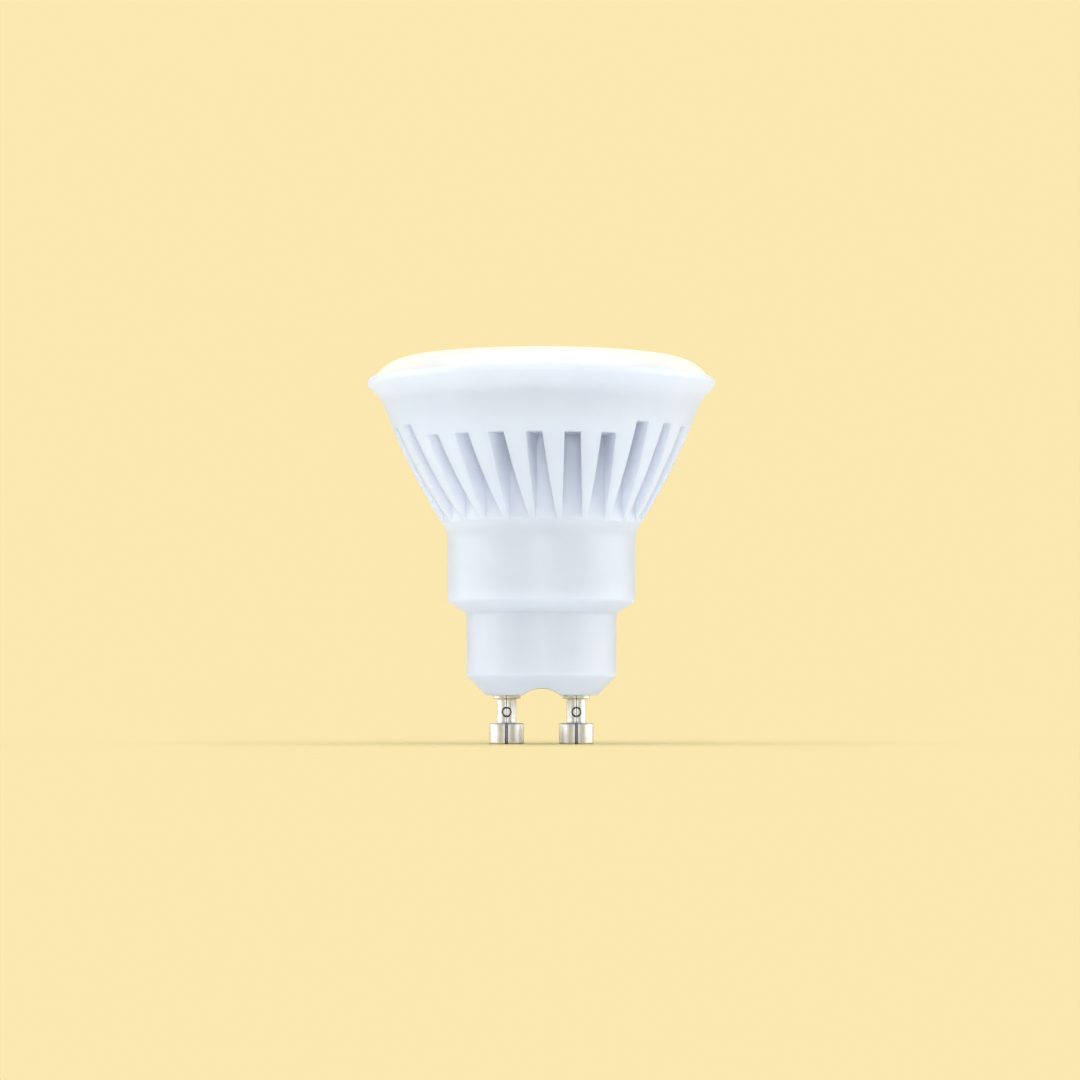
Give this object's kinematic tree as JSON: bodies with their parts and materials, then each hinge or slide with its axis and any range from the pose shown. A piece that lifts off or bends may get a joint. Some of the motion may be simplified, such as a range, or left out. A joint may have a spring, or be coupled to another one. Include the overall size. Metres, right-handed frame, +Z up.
{
  "type": "gu10 spotlight bulb",
  "caption": "Reflector-shaped LED spotlight lamp with a white finned housing, a domed opal front and a twist-lock two-stud base.",
  "frame": {"origin": "centre of the base's lower face, midway between the two contact studs, in the plane that meets the lamp holder", "axes": "+Z up the lamp's axis from the base to the domed front, X along the line through the two studs, Y across it with the studs' seams on the -Y side"},
  "size_m": [0.05, 0.05, 0.0564],
  "materials": {
    "housing_white": "moulded satin white thermally conductive plastic",
    "diffuser_opal": "opal polycarbonate, lit from behind",
    "stud_nickel": "nickel-plated brass sheet",
    "spreader_aluminium": "drawn, mill finish",
    "thermal_pad_grey": "soft silicone sheet",
    "led_board_white": "white solder mask on aluminium",
    "led_phosphor": "phosphor in a white frame",
    "connector_white": "moulded",
    "screw_steel": "zinc plated",
    "insulator_natural": "moulded, translucent",
    "board_green": "glass-epoxy with green solder mask",
    "chip_black": "moulded epoxy",
    "capacitor_sleeve": "shrink sleeve",
    "ferrite": "sintered ferrite",
    "winding_copper": "enamelled copper",
    "film_red": "dipped epoxy",
    "suppressor_blue": "dipped epoxy",
    "fuse_green": "cement coating",
    "wire_white": "silicone insulation",
    "wire_red": "silicone insulation",
    "wire_black": "silicone insulation"
  },
  "bodies": {
    "root": {"board_screws": "screw_steel", "bridge_rectifier": "chip_black", "diffuser": "diffuser_opal", "driver_board": "board_green", "driver_chip": "chip_black", "driver_insulator": "insulator_natural", "film_capacitor": "film_red", "fusible_resistor": "fuse_green", "heat_spreader": "spreader_aluminium", "housing": "housing_white", "inductor_core": "ferrite", "inductor_winding": "winding_copper", "input_capacitor": "capacitor_sleeve", "led_board": "led_board_white", "led_connector": "connector_white", "led_lead_negative": "wire_black", "led_lead_positive": "wire_red", "led_packages": "led_phosphor", "mains_lead_left": "wire_white", "mains_lead_right": "wire_white", "output_capacitor": "capacitor_sleeve", "stud_left": "stud_nickel", "stud_right": "stud_nickel", "surface_resistors": "chip_black", "surge_suppressor": "suppressor_blue", "thermal_pad": "thermal_pad_grey"}
  },
  "joints": []
}
